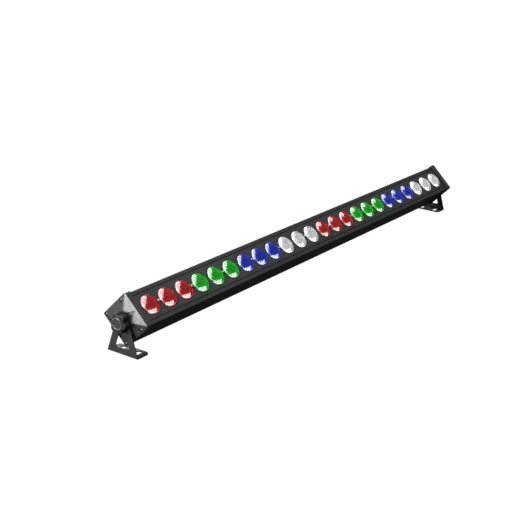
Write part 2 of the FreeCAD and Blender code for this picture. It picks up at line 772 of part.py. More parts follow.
def build_pivot_bolt(label, flipped):
    body = new_body(label.title().replace("_", ""))
    head = sketch(body, body.Name + "Head", "YZ_Plane", lift=f"{CAP_WALL} - bolt_head")
    corner = "bolt_head_flats / sqrt(3)"
    outline(head, [(f"{corner} * cos({60 * i}deg)", f"{corner} * sin({60 * i}deg)") for i in range(6)])
    pad(body, head, "bolt_head")
    shank = sketch(body, body.Name + "Shank", "YZ_Plane", lift=CAP_WALL)
    circle(shank, "0", "0", "bolt_radius")
    pad(body, shank, f"{CAP_FACE} + bolt_reach - ({CAP_WALL})")
    node(label, on_bar(body, flipped))


def ring(name, start, length, outer, inner):
    """A flat ring round the tilt axis, drawn at the +X end."""
    body = new_body(name)
    drawing = sketch(body, name + "Ring", "YZ_Plane", lift=start)
    circle(drawing, "0", "0", outer)
    circle(drawing, "0", "0", inner)
    pad(body, drawing, length)
    return body


def build_friction_discs():
    discs = []
    for name, flipped in (("DiscLeft", True), ("DiscRight", False)):
        disc = ring(name, PAD_FACE, "disc_thickness", "disc_radius", "bolt_radius + running_gap")
        discs.append(on_bar(disc, flipped))
    node("friction_discs", grouped("FrictionDiscs", discs))


def build_stand(label, flipped):
    """An A-shaped plate with a foot flange that turns in under the bar, drawn at the +X end with
    the floor at height 0."""
    body = new_body(label.title().replace("_", ""))
    half_foot = "foot_width / 2"
    # angle of the leg's outer edge from upright, and where it meets the round crown
    to_corner = f"acos(stand_crown / sqrt(({half_foot}) ^ 2 + pivot_height ^ 2))"
    lean = f"({to_corner} - atan(pivot_height / ({half_foot})))"
    touch_y = f"stand_crown * cos({lean})"
    touch_z = f"pivot_height + stand_crown * sin({lean})"
    plate = sketch(body, body.Name + "Plate", "YZ_Plane", lift=STAND_INSIDE)
    outline(plate, [(f"-({half_foot})", "0"), (half_foot, "0"), (touch_y, touch_z),
                    ("0", "pivot_height + stand_crown"), (f"-({touch_y})", touch_z)],
            {2: "stand_crown", 3: "stand_crown"})
    pad(body, plate, "stand_thickness")
    flange = sketch(body, body.Name + "Flange", lift="0")
    inner = f"{STAND_OUTSIDE} - foot_reach"
    points = [(STAND_OUTSIDE, half_foot), (f"{inner} + foot_corner", half_foot),
              (inner, f"{half_foot} - foot_corner"), (inner, f"foot_corner - {half_foot}"),
              (f"{inner} + foot_corner", f"-{half_foot}"), (STAND_OUTSIDE, f"-{half_foot}")]
    outline(flange, points, {1: "foot_corner", 3: "foot_corner"})
    pad(body, flange, "stand_thickness")
    window = sketch(body, body.Name + "Window", "YZ_Plane", lift=STAND_INSIDE)
    inner_edge = f"(stand_crown - leg_width + (pivot_height - {{}}) * sin({lean})) / cos({lean})"
    low_half = inner_edge.format("window_bottom")
    high_half = inner_edge.format("(pivot_height - window_drop)")
    high = "pivot_height - window_drop"
    outline(window, [(f"-({low_half})", "window_bottom"), (low_half, "window_bottom"), (high_half, high),
                     (f"-({high_half})", high)])
    pocket(body, window, "stand_thickness", along_normal=True)
    slots = sketch(body, body.Name + "Slots", lift="0")
    middle = f"{STAND_OUTSIDE} - slot_setback"
    near, far = f"{middle} - slot_length / 2 + slot_width / 2", f"{middle} + slot_length / 2 - slot_width / 2"
    for side in (-1, 1):
        low = f"{side} * slot_spacing / 2 - slot_width / 2"
        high_side = f"{side} * slot_spacing / 2 + slot_width / 2"
        centre = f"{side} * slot_spacing / 2"
        outline(slots, [(near, low), (far, low), (f"{far} + slot_width / 2", centre), (far, high_side),
                        (near, high_side), (f"{near} - slot_width / 2", centre)],
                {i: "slot_width / 2" for i in (1, 2, 4, 5)})
    pocket(body, slots, "stand_thickness", along_normal=True)
    bore = sketch(body, body.Name + "Bore", "YZ_Plane", lift=STAND_INSIDE)
    circle(bore, "0", "pivot_height", "bolt_radius + running_gap")
    pocket(body, bore, "stand_thickness", along_normal=True)

    def upright_edge(edge, y, z):
        """An edge through the plate's thickness near y, z."""
        box = edge.BoundBox
        return (abs(box.XLength - value("stand_thickness")) < 0.01 and box.YLength + box.ZLength < 0.01
                and abs(abs(box.YMin) - y) < 0.5 and abs(box.ZMin - z) < 0.5)

    fillet(body, "window_corner", lambda edge: upright_edge(edge, value(low_half), value("window_bottom")))
    fillet(body, "window_crown", lambda edge: upright_edge(edge, value(high_half), value(high)))

    def along_y(edge, x, z):
        box = edge.BoundBox
        return (box.XLength + box.ZLength < 0.01 and box.YLength > 20
                and abs(box.XMin - x) < 0.01 and abs(box.ZMin - z) < 0.01)

    fillet(body, "bend_inside", lambda edge: along_y(edge, value(STAND_INSIDE), value("stand_thickness")))
    fillet(body, "bend_outside", lambda edge: along_y(edge, value(STAND_OUTSIDE), 0.0))
    if flipped:
        place(body, turn=HALF_ROUND)
    node(label, body)


def on_pivot(thing, flipped):
    """Put a thing drawn round the tilt axis onto the pivot, without the bar's tilt."""
    place(thing, z="pivot_height", turn=HALF_ROUND if flipped else "")
    return thing


def build_knob(side, flipped):
    """A six-lobed hand knob with a brass insert, a loose washer, and a bright ring round a disc."""
    body = new_body("KnobGrip" + side.title())
    # a lobe's arc and a valley's arc touch on the line between their centres
    half_step = "cos(180deg / knob_lobes)"
    valley = ("((lobe_centre ^ 2 + valley_reach ^ 2 - 2 * lobe_centre * valley_reach * {0} - lobe_radius ^ 2)"
              " / (2 * lobe_radius + 2 * lobe_centre * {0} - 2 * valley_reach))").format(half_step)
    share = f"(lobe_radius / (lobe_radius + {valley}))"
    touch_x = f"(lobe_centre * (1 - {share}) + (valley_reach + {valley}) * {share} * {half_step})"
    touch_y = f"((valley_reach + {valley}) * {share} * sin(180deg / knob_lobes))"
    points = []
    arcs = {}
    for lobe in range(DIMENSIONS["knob_lobes"]):
        angle = f"(knob_phase * 1deg + {lobe} * 360deg / knob_lobes)"
        tip = "(lobe_centre + lobe_radius)"
        for along, across in ((touch_x, f"(-{touch_y})"), (tip, "0"), (touch_x, touch_y)):
            points.append((f"{along} * cos({angle}) - {across} * sin({angle})",
                           f"{along} * sin({angle}) + {across} * cos({angle})"))
        arcs.update({3 * lobe: "lobe_radius", 3 * lobe + 1: "lobe_radius", 3 * lobe + 2: f"-{valley}"})
    star = sketch(body, body.Name + "Star", "YZ_Plane", lift=KNOB_BACK)
    outline(star, points, arcs)
    pad(body, star, "knob_thickness")
    front = value(f"{KNOB_BACK} + knob_thickness")

    def on_front(edge):
        return edge.BoundBox.XLength < 0.01 and abs(edge.BoundBox.XMin - front) < 0.01

    fillet(body, "knob_edge", on_front)
    recess = sketch(body, body.Name + "Recess", "YZ_Plane", lift=KNOB_FLOOR)
    circle(recess, "0", "0", "knob_recess_radius")
    pocket(body, recess, "knob_recess", along_normal=True)
    socket = sketch(body, body.Name + "Socket", "YZ_Plane", lift=KNOB_BACK)
    circle(socket, "0", "0", "insert_radius")
    pocket(body, socket, "insert_length", along_normal=True)
    node(f"knob_grip_{side}", on_pivot(body, flipped))
    insert = ring("KnobInsert" + side.title(), KNOB_BACK, "insert_length", "insert_radius",
                  "bolt_radius + running_gap")
    node(f"knob_insert_{side}", on_pivot(insert, flipped))
    bright_ring = ring("KnobRing" + side.title(), KNOB_FLOOR, "ring_height", "ring_outer", "ring_inner")
    node(f"knob_ring_{side}", on_pivot(bright_ring, flipped))
    badge = new_body("KnobDisc" + side.title())
    drawing = sketch(badge, badge.Name + "Face", "YZ_Plane", lift=KNOB_FLOOR)
    circle(drawing, "0", "0", "ring_inner")
    pad(badge, drawing, "badge_height")
    node(f"knob_disc_{side}", on_pivot(badge, flipped))
    washer = ring("KnobWasher" + side.title(), STAND_OUTSIDE, "washer_thickness", "washer_radius",
                  "bolt_radius + running_gap")
    node(f"knob_washer_{side}", on_pivot(washer, flipped))


# ---------------------------------------------------------------- rear face

def build_mains_inlet():
    face = (REAR_FLANGE, REAR)
    flange = slab("InletFlange", ("inlet_place - inlet_flange / 2", "inlet_place + inlet_flange / 2"),
                  ("-mains_flange_width / 2", "mains_flange_width / 2"), face)
    shell = slab("InletShell", ("inlet_place - inlet_shell / 2", "inlet_place + inlet_shell / 2"),
                 ("-mains_shell_width / 2", "mains_shell_width / 2"), (REAR, f"{REAR} + inlet_shell_depth"))
    mouth_floor = f"{REAR_FLANGE} + inlet_mouth_depth"
    mouth = slab("InletMouth", ("inlet_place + inlet_mouth_start", "inlet_place + inlet_mouth_end"),
                 ("-inlet_mouth_width / 2", "inlet_mouth_width / 2"), (REAR_FLANGE, mouth_floor))
    fuse_bay = slab("FuseBay", ("inlet_place + fuse_start - fuse_gap", "inlet_place + fuse_end + fuse_gap"),
                    ("-fuse_width / 2 - fuse_gap", "fuse_width / 2 + fuse_gap"),
                    (REAR_FLANGE, f"{REAR_FLANGE} + fuse_depth + fuse_gap"))
    inset = "(inlet_flange / 2 - mains_screw_inset)"
    holes = [drum(f"InletScrewHole{end}", f"inlet_place + {end} * {inset}", "0", face, "small_bore")
             for end in (-1, 1)]
    inlet = hollowed("MainsInlet", joined("InletBlock", [flange, shell]), [mouth, fuse_bay] + holes)
    node("mains_inlet", on_bar(inlet))
    centre = "inlet_place + (inlet_mouth_start + inlet_mouth_end) / 2"
    tall = (f"{mouth_floor} - blade_length", mouth_floor)
    blades = []
    for end in (-1, 1):
        x = f"{centre} + {end} * blade_spread / 2"
        blades.append(slab(f"Blade{end}", (f"{x} - blade_thickness / 2", f"{x} + blade_thickness / 2"),
                           ("-blade_width", "0"), tall))
    blades.append(slab("EarthBlade", (f"{centre} - blade_width / 2", f"{centre} + blade_width / 2"),
                       ("blade_width - blade_thickness / 2", "blade_width + blade_thickness / 2"), tall))
    node("mains_inlet_blades", on_bar(grouped("InletBlades", blades)))
    drawer = slab("DrawerBlock", ("inlet_place + fuse_start", "inlet_place + fuse_end"),
                  ("-fuse_width / 2", "fuse_width / 2"),
                  (f"{REAR_FLANGE} - fuse_proud", f"{REAR_FLANGE} + fuse_depth"))
    inside = ("inlet_place + fuse_start + fuse_wall", "inlet_place + fuse_end - fuse_wall")
    grip = slab("DrawerGrip", inside, ("fuse_width / 2 - fuse_grip", "fuse_width / 2"),
                (f"{REAR_FLANGE} - fuse_proud", REAR_FLANGE))
    fuse_room = slab("FuseRoom", inside, ("-fuse_width / 2 + fuse_wall", "fuse_width / 2 - fuse_wall"),
                     (f"{REAR_FLANGE} + fuse_grip", f"{REAR_FLANGE} + fuse_depth"))
    node("fuse_drawer", on_bar(hollowed("FuseDrawer", drawer, [grip, fuse_room])))


def build_mains_outlet():
    face = (REAR_FLANGE, REAR)
    flange = slab("OutletFlange", ("outlet_place - outlet_flange / 2", "outlet_place + outlet_flange / 2"),
                  ("-mains_flange_width / 2", "mains_flange_width / 2"), face)
    shell = slab("OutletShell", ("outlet_place - outlet_shell / 2", "outlet_place + outlet_shell / 2"),
                 ("-mains_shell_width / 2", "mains_shell_width / 2"), (REAR, f"{REAR} + outlet_shell_depth"))
    deep = (REAR_FLANGE, f"{REAR_FLANGE} + blade_length")
    wide, thick = "(blade_width / 2 + 0.3)", "(blade_thickness / 2 + 0.2)"
    tools = []
    for end in (-1, 1):
        x = f"outlet_place + {end} * blade_spread / 2"
        tools.append(slab(f"OutletSlot{end}", (f"{x} - {thick}", f"{x} + {thick}"),
                          (f"-blade_width / 2 - {wide}", f"-blade_width / 2 + {wide}"), deep))
        x = f"outlet_place + {end} * (outlet_flange / 2 - mains_screw_inset)"
        tools.append(drum(f"OutletScrewHole{end}", x, "0", face, "small_bore"))
    tools.append(slab("OutletEarthSlot", (f"outlet_place - {wide}", f"outlet_place + {wide}"),
                      (f"blade_width - {thick}", f"blade_width + {thick}"), deep))
    node("mains_outlet", on_bar(hollowed("MainsOutlet", joined("OutletBlock", [flange, shell]), tools)))


def data_socket_block(name, place_x):
    """The square flange and round shell that both data sockets share, and its two screw holes."""
    flange = slab(name + "Flange",
                  (f"{place_x} - data_flange_length / 2", f"{place_x} + data_flange_length / 2"),
                  ("-data_flange_width / 2", "data_flange_width / 2"), (REAR_FLANGE, REAR))
    shell = drum(name + "Shell", place_x, "0", (REAR, f"{REAR} + data_shell_depth"), "data_shell_radius")
    holes = [drum(f"{name}ScrewHole{end}", f"{place_x} + {end} * data_screw_x", f"{end} * data_screw_y",
                  (REAR_FLANGE, REAR), "small_bore") for end in (-1, 1)]
    return joined(name + "Block", [flange, shell]), holes


def contact_places(place_x):
    """Three contacts on a circle, one at the bottom."""
    return [(f"{place_x} + data_pin_circle * cos({angle}deg)", f"data_pin_circle * sin({angle}deg)")
            for angle in (-90, 30, 150)]


def build_data_sockets():
    block, holes = data_socket_block("DataIn", "data_in_place")
    mouth_floor = f"{REAR_FLANGE} + data_mouth_depth"
    mouth = drum("DataInMouth", "data_in_place", "0", (REAR_FLANGE, mouth_floor), "data_mouth_radius")
    node("data_inlet", on_bar(hollowed("DataInlet", block, [mouth] + holes)))
    pins = [drum(f"DataPin{i}", x, y, (f"{mouth_floor} - data_pin_length", mouth_floor), "data_pin_radius")
            for i, (x, y) in enumerate(contact_places("data_in_place"))]
    node("data_inlet_pins", on_bar(grouped("DataInletPins", pins)))

    block, holes = data_socket_block("DataOut", "data_out_place")
    deep = (REAR_FLANGE, f"{REAR_FLANGE} + data_out_depth")
    tools = holes + [drum("DataOutMouth", "data_out_place", "0", deep, "data_out_radius")]
    tools.append(slab("LatchBay", ("data_out_place - latch_half_length - latch_gap",
                                   "data_out_place + latch_half_length + latch_gap"),
                      ("latch_low - latch_gap", "latch_high + latch_gap"),
                      (REAR_FLANGE, f"{REAR_FLANGE} + latch_in + latch_room")))
    node("data_outlet", on_bar(hollowed("DataOutlet", block, tools)))
    insert = drum("DataInsertBlock", "data_out_place", "0", deep, "data_insert_radius")
    contacts = [drum(f"DataHole{i}", x, y, deep, "data_pin_radius + data_contact_gap")
                for i, (x, y) in enumerate(contact_places("data_out_place"))]
    node("data_outlet_insert", on_bar(hollowed("DataOutletInsert", insert, contacts)))
    latch = slab("DataLatch", ("data_out_place - latch_half_length", "data_out_place + latch_half_length"),
                 ("latch_low", "latch_high"),
                 (f"{REAR_FLANGE} - latch_out", f"{REAR_FLANGE} + latch_in"))
    node("data_latch", on_bar(grouped("DataLatchNode", [latch])))


def build_control_panel():
    face = (REAR_FLANGE, REAR)
    plate = slab("ControlFace", ("-panel_length / 2", "panel_length / 2"),
                 ("-panel_width / 2", "panel_width / 2"), face)
    studs = []
    for end in (-1, 1):
        for side in (-1, 1):
            studs.append(drum(f"PlateStud{end}{side}",
                              f"{end} * (panel_cutout_length / 2 - plate_stud_inset)",
                              f"{side} * (panel_cutout_width / 2 - plate_stud_inset)",
                              (REAR, DISPLAY_BOARD), "plate_stud_radius"))
    tools = [slab("WindowHole", ("window_start", "window_end"),
                  ("-window_width / 2", "window_width / 2"), face)]
    centres = [f"button_start + {i} * button_pitch" for i in range(4)]
    tools += [drum(f"ButtonHole{i}", x, "0", face, "button_hole") for i, x in enumerate(centres)]
    for end in (-1, 1):
        for side in (-1, 1):
            tools.append(drum(f"PlateScrewHole{end}{side}",
                              f"{end} * (panel_length / 2 - plate_screw_inset)",
                              f"{side} * (panel_width / 2 - plate_screw_inset)", face, "small_bore"))
    node("control_plate", on_bar(hollowed("ControlPlate", joined("ControlBlock", [plate] + studs), tools)))
    window = slab("DisplayWindow", ("window_start + window_clearance", "window_end - window_clearance"),
                  ("-window_width / 2 + window_clearance", "window_width / 2 - window_clearance"), face)
    node("display_window", on_bar(grouped("DisplayWindowNode", [window])))
    board_top = f"{DISPLAY_BOARD} + board_thickness"
    circuit = slab("DisplayCircuit",
                   ("-panel_cutout_length / 2 + display_inset", "panel_cutout_length / 2 - display_inset"),
                   ("-panel_cutout_width / 2 + display_gap", "panel_cutout_width / 2 - display_gap"),
                   (DISPLAY_BOARD, board_top))
    module = slab("DisplayModule", ("window_start + display_inset", "window_end - display_inset"),
                  ("display_inset - window_width / 2", "window_width / 2 - display_inset"),
                  (f"{REAR} + display_gap", DISPLAY_BOARD))
    solids = [circuit, module]
    for i, x in enumerate(centres):
        solids.append(slab(f"Switch{i}", (f"{x} - switch_width / 2", f"{x} + switch_width / 2"),
                           ("-switch_width / 2", "switch_width / 2"),
                           (f"{DISPLAY_BOARD} - switch_height", DISPLAY_BOARD)))
    node("display_board", on_bar(joined("DisplayBoard", solids)))
    for i, (name, x) in enumerate(zip(("menu", "up", "down", "enter"), centres)):
        flange = (REAR, f"{REAR} + button_flange_thickness")
        stem_end = f"{REAR} + button_flange_thickness + button_stem"
        parts = [drum(f"ButtonCap{i}", x, "0", (f"{REAR_FLANGE} - button_out", REAR), "button_radius"),
                 drum(f"ButtonFlange{i}", x, "0", flange, "button_flange"),
                 drum(f"ButtonStem{i}", x, "0", (flange[1], stem_end), "button_stem_radius")]
        node(f"button_{name}", on_bar(joined(f"Button{i}", parts)))


# ---------------------------------------------------------------- electronics bay

def bay_board(label, name, start, end):
    board = slab(name, (start, end), ("-bay_board_width / 2", "bay_board_width / 2"),
                 (BAY_BOARD, BAY_BOARD_TOP))
    node(label, on_bar(grouped(name + "Node", [board])))


def on_board(name, start, along, across, length, width, height):
    """A boxy component centred at along, across on the bay board that begins at start."""
    return slab(name, (f"{start} + {along - length / 2}", f"{start} + {along + length / 2}"),
                (f"{across - width / 2}", f"{across + width / 2}"),
                (BAY_BOARD_TOP, f"{BAY_BOARD_TOP} + {height}"))


def build_boards():
    bay_board("power_supply_board", "SupplyBoard", "supply_start", "supply_end")
    bay_board("driver_board", "DriverBoard", "driver_start", "driver_end")
    pillars = []
    for start, end in (("supply_start", "supply_end"), ("driver_start", "driver_end")):
        for x in (f"{start} + bay_pillar_inset", f"{end} - bay_pillar_inset"):
            for side in (-1, 1):
                y = f"{side} * (bay_board_width / 2 - bay_pillar_inset)"
                pillars.append(drum(f"BayPillar{len(pillars)}", x, y, (REAR_INSIDE, BAY_BOARD),
                                    "bay_pillar_radius"))
    node("board_pillars", on_bar(grouped("BoardPillars", pillars)))
    supply = [on_board(name, "supply_start", *rest) for name, *rest in SUPPLY_BLOCKS]
    for name, along, across, radius, height in SUPPLY_CANS:
        supply.append(drum(name, f"supply_start + {along}", str(across),
                           (BAY_BOARD_TOP, f"{BAY_BOARD_TOP} + {height}"), str(radius)))
    node("power_supply_components", on_bar(grouped("SupplyComponents", supply)))
    name, *rest = DRIVER_CONTROLLER
    driver = [on_board(name, "driver_start", *rest)]
    for channel in range(len(COLOURS)):
        for name, *rest in DRIVER_CHANNEL:
            driver.append(on_board(f"{name}{channel}", "driver_start",
                                   CHANNEL_START + channel * CHANNEL_PITCH, *rest))
    node("driver_components", on_bar(grouped("DriverComponents", driver)))


def build_loom():
    """The loom rises from the supply board, runs along the housing and drops to the driver board."""
    body = new_body("WiringLoom")
    path = sketch(body, "LoomPath", "XZ_Plane", lift="-loom_side")
    points = [("loom_start", BAY_BOARD_TOP), ("loom_start", "loom_level - loom_bend"),
              ("loom_start + loom_bend", "loom_level"), ("loom_end - loom_bend", "loom_level"),
              ("loom_end", "loom_level - loom_bend"), ("loom_end", BAY_BOARD_TOP)]
    outline(path, points, {1: "-loom_bend", 3: "-loom_bend"}, closed=False)
    profile = sketch(body, "LoomSection", x="loom_start", y="loom_side", lift=BAY_BOARD_TOP)
    circle(profile, "0", "0", "loom_radius")
    pipe = body.newObject("PartDesign::AdditivePipe", "LoomPipe")
    pipe.Profile = profile
    pipe.Spine = (path, [f"Edge{i}" for i in range(1, len(points))])
    node("wiring_loom", on_bar(body))


# ---------------------------------------------------------------- build, test and write

build_housing()
build_front_panel()
build_lenses()
build_light_engine()
build_screws()
for end_name, turned in (("left", True), ("right", False)):
    build_cap(f"end_cap_{end_name}", turned)
    build_gasket(f"cap_gasket_{end_name}", turned)
    build_pivot_bolt(f"pivot_bolt_{end_name}", turned)
    build_stand(f"stand_{end_name}", turned)
    build_knob(end_name, turned)
build_friction_discs()
build_mains_inlet()
build_mains_outlet()
build_data_sockets()
build_control_panel()
build_boards()
build_loom()
doc.recompute()

for thing in doc.Objects:
    if {"Invalid", "Error"} & set(thing.State):
        raise RuntimeError(f"{thing.Name} failed: {thing.State}")
os.makedirs("parts", exist_ok=True)
for thing in nodes:
    shape = thing.Shape
    if shape.isNull() or not shape.isValid() or not shape.Solids:
        raise RuntimeError(f"{thing.Label} has no valid solid")
    shape.exportStep(f"parts/{thing.Label}.step")
    print(f"{thing.Label:26s} {len(shape.Solids):3d} solids {shape.Volume / 1000:10.2f} cm3")
print(len(nodes), "nodes")
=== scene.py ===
import json
import math

import bmesh
import bpy
from mathutils import Matrix, Vector


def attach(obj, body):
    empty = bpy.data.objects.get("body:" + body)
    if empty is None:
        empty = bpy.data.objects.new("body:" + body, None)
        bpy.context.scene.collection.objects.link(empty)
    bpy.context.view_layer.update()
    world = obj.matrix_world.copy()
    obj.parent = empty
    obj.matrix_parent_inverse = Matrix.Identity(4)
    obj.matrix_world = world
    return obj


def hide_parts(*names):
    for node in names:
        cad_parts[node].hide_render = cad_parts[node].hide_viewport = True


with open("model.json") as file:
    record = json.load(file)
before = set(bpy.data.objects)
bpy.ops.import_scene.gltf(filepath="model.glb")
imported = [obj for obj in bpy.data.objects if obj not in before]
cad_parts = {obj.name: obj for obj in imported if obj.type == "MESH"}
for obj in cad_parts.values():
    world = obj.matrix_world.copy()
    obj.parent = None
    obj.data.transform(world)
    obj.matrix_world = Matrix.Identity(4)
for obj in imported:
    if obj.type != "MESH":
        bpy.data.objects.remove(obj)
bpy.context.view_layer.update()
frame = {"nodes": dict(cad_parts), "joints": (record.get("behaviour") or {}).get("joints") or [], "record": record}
nodes = frame["nodes"]
record = frame["record"]

# ------------------------------------------------------------------ the bar's own axes and sizes
# The bar is drawn with its lenses looking along +Z and then tilted about the clamping knobs. All
# lengths are in metres.

PIVOT = Vector(next(joint for joint in frame["joints"] if joint["name"] == "bar_tilt")["pos_m"])
TILT = math.radians(43.5)
ON_BAR = Matrix.Translation(PIVOT) @ Matrix.Rotation(TILT, 4, "X")

COLOURS = ("red", "green", "blue", "white")
LENSES_IN_GROUP = 3
LENS_COUNT = 24
LENS_PITCH = 0.0405
LENS_RADIUS = 0.01665
LENS_RISE = 0.0075
DOME_FOOT = 0.0016
PANEL_FRONT = 0.0266
# Beyond this distance from its middle line the panel is darkened with painted shade, as dark as the shaded gaps
# beside it.
PANEL_GAP_SHADE_FROM = 0.0214


# ------------------------------------------------------------------ shader building

class Shader:
    """Builds one node-based material, left to right."""

    def __init__(self, name):
        self.material = bpy.data.materials.new(name)
        self.material.use_nodes = True
        self.tree = self.material.node_tree
        self.tree.nodes.clear()
        self.output = self.add("ShaderNodeOutputMaterial")
        self.coords = self.add("ShaderNodeTexCoord").outputs["Object"]

    def add(self, kind, links=(), **settings):
        node = self.tree.nodes.new(kind)
        for name, setting in settings.items():
            setattr(node, name, setting)
        for socket, source in dict(links).items():
            self.feed(node.inputs[socket], source)
        return node

    def feed(self, socket, source):
        """Link source to socket, or set it there if it is a plain value."""
        if isinstance(source, bpy.types.NodeSocket):
            self.tree.links.new(source, socket)
        else:
            socket.default_value = source

    def place(self, scale):
        """Object coordinates scaled by scale along the bar, up its face and out of it."""
        turned = self.add("ShaderNodeMapping", {"Vector": self.coords, "Rotation": (-TILT, 0, 0)})
        return self.add("ShaderNodeMapping", {"Vector": turned.outputs[0], "Scale": scale}).outputs[0]

    def across_face(self):
        """Distances along the bar and across its face, from the face's middle."""
        flat = self.add("ShaderNodeSeparateXYZ", {"Vector": self.place((1.0, 1.0, 1.0))})
        return flat.outputs["X"], self.maths("SUBTRACT", flat.outputs["Y"], PIVOT.z * math.sin(TILT))

    def noise(self, scale, detail=3.0, roughness=0.55):
        """Noise with scale features to the metre, one number or one for each axis."""
        vector = self.place(scale if hasattr(scale, "__len__") else (scale,) * 3)
        links = {"Vector": vector, "Scale": 1.0, "Detail": detail, "Roughness": roughness}
        return self.add("ShaderNodeTexNoise", links).outputs["Fac"]

    def spread(self, value, low, high, start=0.3, stop=0.7):
        """Map start..stop onto low..high. Most of a noise lies between 0.3 and 0.7."""
        links = {"Value": value, "From Min": start, "From Max": stop, "To Min": low, "To Max": high}
        return self.add("ShaderNodeMapRange", links).outputs[0]

    def band(self, value, inner, outer):
        """1 between inner's end and outer's start, fading to 0 at inner's start and outer's end."""
        rise, fall = self.spread(value, 0.0, 1.0, *inner), self.spread(value, 1.0, 0.0, *outer)
        return self.maths("MULTIPLY", rise, fall)

    def mix(self, share, first, second):
        """The first colour where share is 0, the second where it is 1."""
        node = self.add("ShaderNodeMix", data_type="RGBA")
        for index, source in ((0, share), (6, first), (7, second)):
            self.feed(node.inputs[index], source)
        return node.outputs[2]

    def maths(self, operation, first, second=0.0):
        node = self.add("ShaderNodeMath", operation=operation)
        self.feed(node.inputs[0], first)
        self.feed(node.inputs[1], second)
        return node.outputs[0]

    def bump(self, height, distance, strength=1.0, normal=None):
        links = {"Height": height, "Distance": distance, "Strength": strength}
        if normal is not None:
            links["Normal"] = normal
        return self.add("ShaderNodeBump", links).outputs[0]

    def edges(self, radius):
        """1 along the edges that a bevel of this radius would round and 0 elsewhere, and its normal."""
        bevel = self.add("ShaderNodeBevel", {"Radius": radius}, samples=4).outputs[0]
        plain = self.add("ShaderNodeNewGeometry").outputs["Normal"]
        dot = self.add("ShaderNodeVectorMath", operation="DOT_PRODUCT")
        self.feed(dot.inputs[0], bevel)
        self.feed(dot.inputs[1], plain)
        return self.spread(dot.outputs["Value"], 1.0, 0.0, 0.80, 0.995), bevel

    def crevice_shade(self, reach, power):
        """1 in the open and nearly 0 deep in a groove narrower than reach: the mask for painted shade in crevices.
        """
        node = self.add("ShaderNodeAmbientOcclusion", {"Distance": reach}, samples=8)
        return self.maths("POWER", node.outputs["AO"], power)

    def principled(self, **sockets):
        node = self.add("ShaderNodeBsdfPrincipled")
        for name, source in sockets.items():
            self.feed(node.inputs[name.replace("_", " ")], source)
        return node.outputs[0]

    def finish(self, surface):
        self.feed(self.output.inputs["Surface"], surface)
        return self.material


def tone(colour, factor):
    """The colour made lighter or darker by factor, with an alpha of 1."""
    return tuple(min(1.0, channel * factor) for channel in colour[:3]) + (1.0,)


# ------------------------------------------------------------------ kinds of material

WORN_THROUGH = (0.32, 0.32, 0.33, 1.0)


def coated_metal(name, colour, roughness, grain=2600.0, specular=0.5, wear=0.25, drawn=False, shade=2.4,
                 gap_shade_from=None):
    """Black-coated metal: fine powder grain, slow tone changes, painted shade in crevices, and edges where
    the coat has thinned. drawn adds lines along the bar, and the last argument is the distance from the
    face's middle line beyond which painted shade of the panel gap starts."""
    s = Shader(name)
    cloud = s.spread(s.noise(28.0, 4.0), 0.0, 1.0)
    worn, rounded = s.edges(0.0006)
    chips = s.spread(s.noise(420.0, 5.0, 0.7), 0.0, 1.0, 0.48, 0.6)
    base = s.mix(cloud, tone(colour, 0.86), tone(colour, 1.14))
    powder = s.noise(620.0, 5.0, 0.7)
    base = s.mix(s.spread(powder, 0.0, 0.75, 0.38, 0.62), base, tone(colour, 0.45))
    base = s.mix(s.spread(powder, 0.3, 0.0, 0.38, 0.5), base, tone(colour, 2.0))
    base = s.mix(s.maths("MULTIPLY", s.maths("MULTIPLY", worn, chips), wear), base, WORN_THROUGH)
    base = s.mix(s.maths("MULTIPLY", worn, wear), base, tone(colour, 1.9))
    rough = s.maths("ADD", s.spread(s.noise(160.0, 3.0), -0.05, 0.05), roughness)
    # painted shade: an ambient-occlusion mask darkens grooves, recesses and the ground round parts
    unshaded = s.crevice_shade(0.008, shade)
    # painted shade of the gap beside the panel's long edges
    if gap_shade_from:
        from_middle = s.maths("ABSOLUTE", s.across_face()[1])
        lit = s.spread(from_middle, 1.0, 0.1, gap_shade_from - 0.0001, gap_shade_from + 0.0001)
        unshaded = s.maths("MULTIPLY", unshaded, lit)
    # painted shade: crevices and the strips beside the panel gap go to a tenth of the colour
    base = s.mix(unshaded, tone(colour, 0.1), base)
    rough = s.maths("MAXIMUM", rough, s.maths("SUBTRACT", 1.0, unshaded))
    normal = s.bump(s.noise(grain, 2.0), 0.00004, 0.5, rounded)
    if drawn:
        lines = s.noise((3.0, 1700.0, 1700.0), 4.0, 0.7)
        normal = s.bump(lines, 0.00003, 0.5, normal)
        base = s.mix(s.spread(lines, 0.0, 0.35), base, tone(colour, 0.7))
    return s.finish(s.principled(Base_Color=base, Roughness=rough, Specular_IOR_Level=specular,
                                 Normal=normal))


def bare_metal(name, colour, roughness, brushed=(600.0, 600.0, 600.0)):
    """Uncoated metal with brush marks and slightly tarnished patches."""
    s = Shader(name)
    streak = s.noise(brushed, 4.0, 0.65)
    base = s.mix(s.spread(streak, 0.0, 1.0), tone(colour, 0.8), tone(colour, 1.05))
    base = s.mix(s.spread(s.noise(55.0), 0.0, 0.35), base, tone(colour, 0.62))
    rough = s.maths("ADD", s.spread(streak, -0.06, 0.1), roughness)
    normal = s.bump(streak, 0.00003, 0.35, s.edges(0.0003)[1])
    return s.finish(s.principled(Base_Color=base, Metallic=1.0, Roughness=rough, Normal=normal))


def moulded(name, colour, roughness, grain=1500.0, specular=0.5, depth=0.00005, coat=0.0):
    """Moulded plastic or rubber with a fine spark-eroded grain."""
    s = Shader(name)
    cloud = s.spread(s.noise(45.0, 4.0), 0.0, 1.0)
    worn, rounded = s.edges(0.0004)
    fine = s.noise(grain, 3.0, 0.6)
    base = s.mix(cloud, tone(colour, 0.88), tone(colour, 1.12))
    base = s.mix(s.maths("MULTIPLY", worn, 0.4), base, tone(colour, 1.7))
    rough = s.maths("ADD", s.spread(fine, -0.05, 0.07), roughness)
    normal = s.bump(fine, depth, 0.5, rounded)
    return s.finish(s.principled(Base_Color=base, Roughness=rough, Specular_IOR_Level=specular,
                                 Coat_Weight=coat, Coat_Roughness=0.15, Normal=normal))


